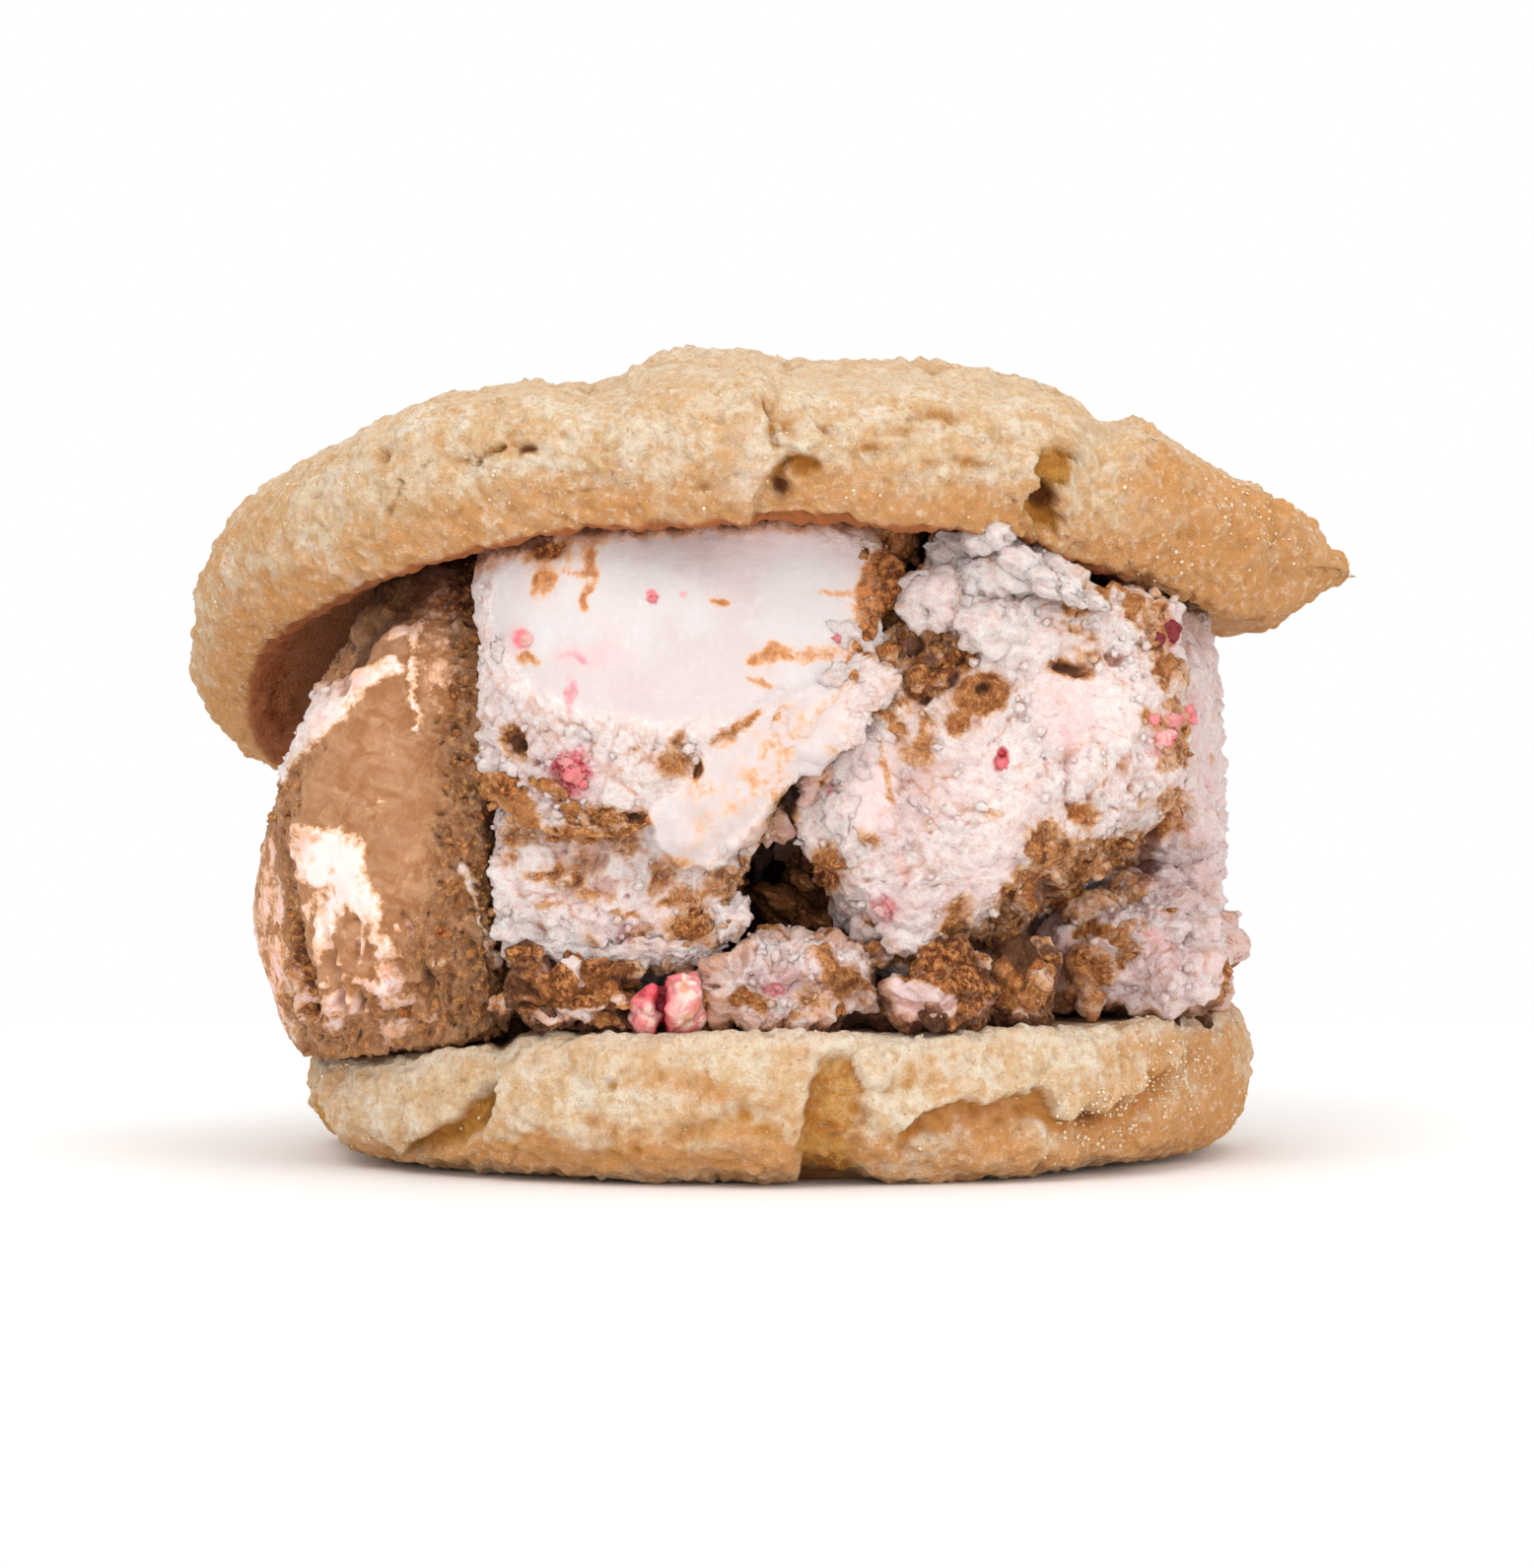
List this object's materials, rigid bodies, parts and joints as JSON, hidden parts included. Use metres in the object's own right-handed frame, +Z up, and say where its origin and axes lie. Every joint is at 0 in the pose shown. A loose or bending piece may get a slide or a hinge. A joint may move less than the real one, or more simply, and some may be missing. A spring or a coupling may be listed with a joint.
{
  "type": "ice cream sandwich",
  "caption": "Ice cream sandwich: hard-pressed scoops of pale and cocoa ice cream between thick cracked sugar cookies, with loose lumps and red fruit in the cleft below.",
  "frame": {"origin": "bottom centre of the whole bounding box, on the crown of the lower cookie that the sandwich rests on", "axes": "+X to the right across the width, -Y towards the viewer (the open front with the scoops), +Z up"},
  "size_m": [0.102, 0.0904, 0.069],
  "materials": {
    "cookie": "dry baked crumb, sugared",
    "cocoa_ice_cream": "frozen, satin",
    "pale_ice_cream": "frozen, satin",
    "caramel_lump": "frozen, satin",
    "red_fruit": "wet"
  },
  "bodies": {
    "root": {"cookie_top": "cookie", "cookie_bottom": "cookie", "scoop_left": "cocoa_ice_cream", "scoop_front": "pale_ice_cream", "scoop_right": "pale_ice_cream", "scoop_end": "pale_ice_cream", "scoop_rear": "pale_ice_cream", "lump_swirl": "caramel_lump", "lump_middle": "pale_ice_cream", "lump_curl": "caramel_lump", "lump_small": "caramel_lump", "lump_end": "pale_ice_cream", "fruit_piece": "red_fruit"}
  },
  "joints": []
}
